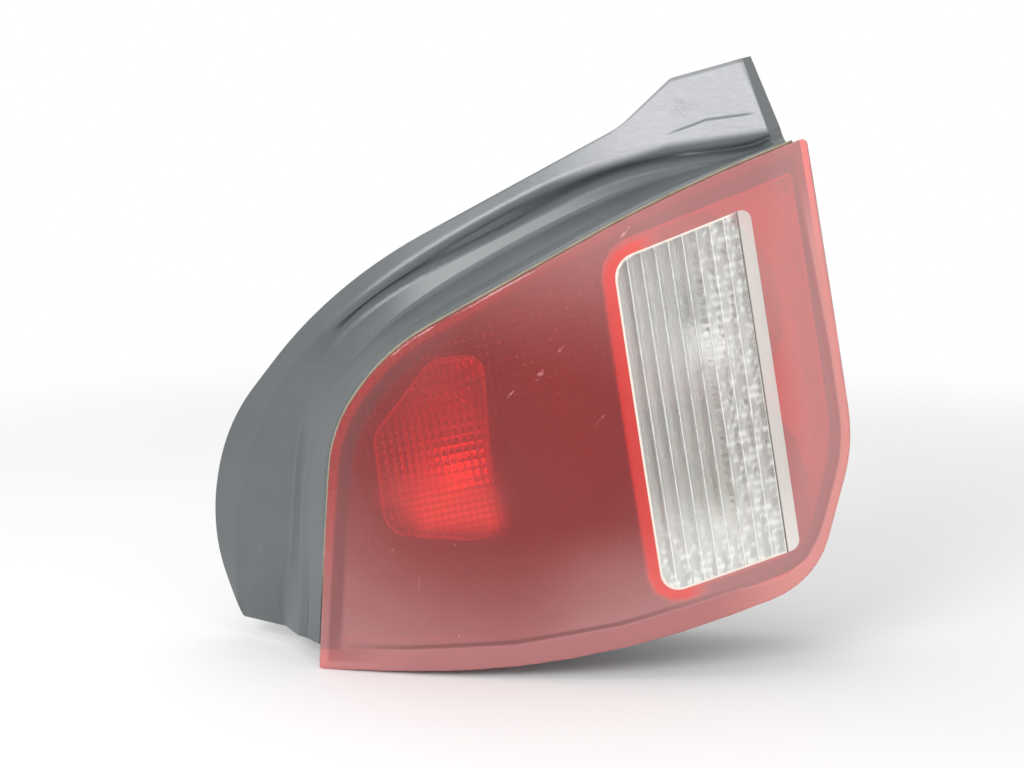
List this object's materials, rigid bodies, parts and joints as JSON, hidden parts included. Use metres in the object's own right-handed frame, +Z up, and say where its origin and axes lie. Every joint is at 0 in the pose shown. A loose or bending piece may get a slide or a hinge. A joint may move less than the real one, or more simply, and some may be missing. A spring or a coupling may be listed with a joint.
{
  "type": "tail light cluster",
  "caption": "Right rear car lamp: red barrel-faced lens with a clear fluted window on a black moulded housing with a wide gutter skirt, fixed by studs, with bulb holder behind.",
  "frame": {"origin": "on the main stud's axis where it leaves its boss, in the plane of the car body", "axes": "+X outboard, -Y out of the car through the lens, +Z up"},
  "size_m": [0.3573, 0.112, 0.3297],
  "materials": {
    "red_lens": "clear red acrylic, glossy with fine scratches",
    "clear_lens": "clear acrylic, fluted inside",
    "seal_bead": "pale sealing bead",
    "housing_plastic": "black moulded plastic, satin, scuffed on the horn",
    "reflector": "metallised plastic",
    "holder_plastic": "pale grey moulded plastic",
    "gasket_rubber": "black rubber",
    "gasket_foam": "closed-cell foam",
    "bulb_glass": "clear blown glass",
    "amber_glass": "amber coated glass",
    "bulb_cap": "nickel plated brass cap",
    "contact_brass": "stamped brass strip",
    "stud_steel": "zinc plated steel"
  },
  "bodies": {
    "root": {"outer_lens": "red_lens", "clear_window": "clear_lens", "lens_seal": "seal_bead", "housing": "housing_plastic", "stop_reflector": "reflector", "signal_reflector": "reflector", "bulb_holder": "holder_plastic", "holder_gasket": "gasket_rubber", "stop_bulb_glass": "bulb_glass", "stop_bulb_cap": "bulb_cap", "reverse_bulb_glass": "bulb_glass", "reverse_bulb_cap": "bulb_cap", "indicator_bulb_glass": "amber_glass", "indicator_bulb_cap": "bulb_cap", "earth_strip": "contact_brass", "tail_strip": "contact_brass", "stop_strip": "contact_brass", "reverse_strip": "contact_brass", "indicator_strip": "contact_brass", "body_gasket": "gasket_foam", "stud_main": "stud_steel", "stud_lower": "stud_steel", "stud_outer": "stud_steel", "vent_cap": "gasket_rubber"}
  },
  "joints": []
}
